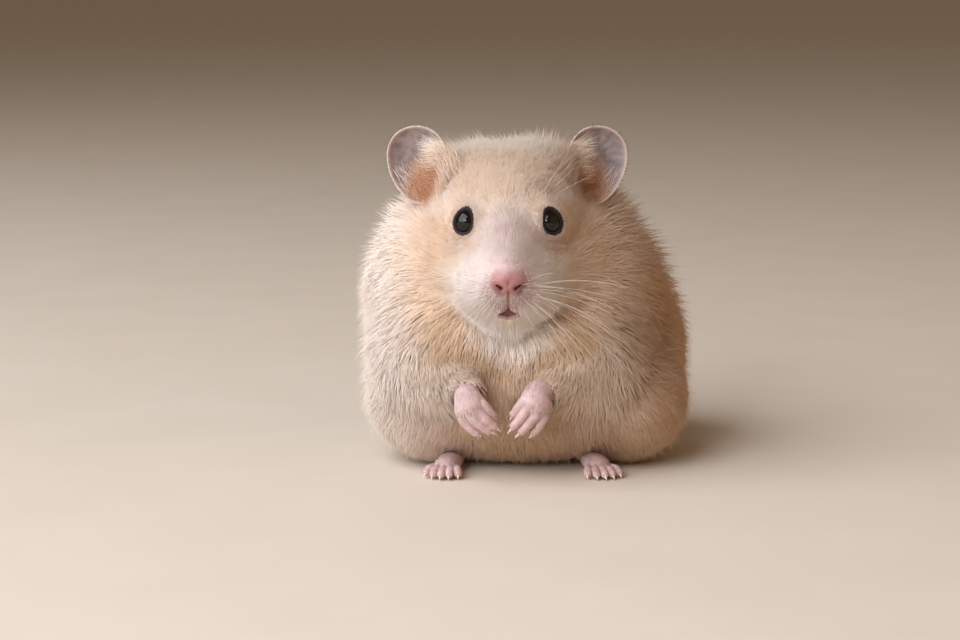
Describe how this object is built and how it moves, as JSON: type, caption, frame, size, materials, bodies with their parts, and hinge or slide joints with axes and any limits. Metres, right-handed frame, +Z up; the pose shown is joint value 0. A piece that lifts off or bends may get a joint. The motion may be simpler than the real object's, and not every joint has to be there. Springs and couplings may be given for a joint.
{
  "type": "syrian hamster",
  "caption": "Life-size still model of a Syrian hamster sitting upright on its haunches with its forepaws held together under the chest.",
  "frame": {"origin": "on the floor, on the flat under the belly, straight below the nose and the mouth", "axes": "+Z up, -Y the way the animal faces, +X towards the animal's own left side"},
  "size_m": [0.0795, 0.0808, 0.0806],
  "materials": {
    "coat": "soft fluffy cream and apricot fur",
    "ear_skin": "thin grey-mauve skin with very fine hair",
    "nose_skin": "bare moist pink skin",
    "paw_skin": "bare pink skin with fine white hairs",
    "eye": "wet, very glossy, near black",
    "claw": "pale translucent horn",
    "whisker": "thin, stiff, pale"
  },
  "bodies": {
    "root": {"head": "coat", "neck": "coat", "trunk": "coat", "foreleg_left": "coat", "foreleg_right": "coat", "hindleg_left": "coat", "hindleg_right": "coat", "forepaw_left": "paw_skin", "forepaw_right": "paw_skin", "hindfoot_left": "paw_skin", "hindfoot_right": "paw_skin", "tail": "paw_skin", "ear_left": "ear_skin", "ear_right": "ear_skin", "nose": "nose_skin", "eye_left": "eye", "eye_right": "eye"}
  },
  "joints": []
}
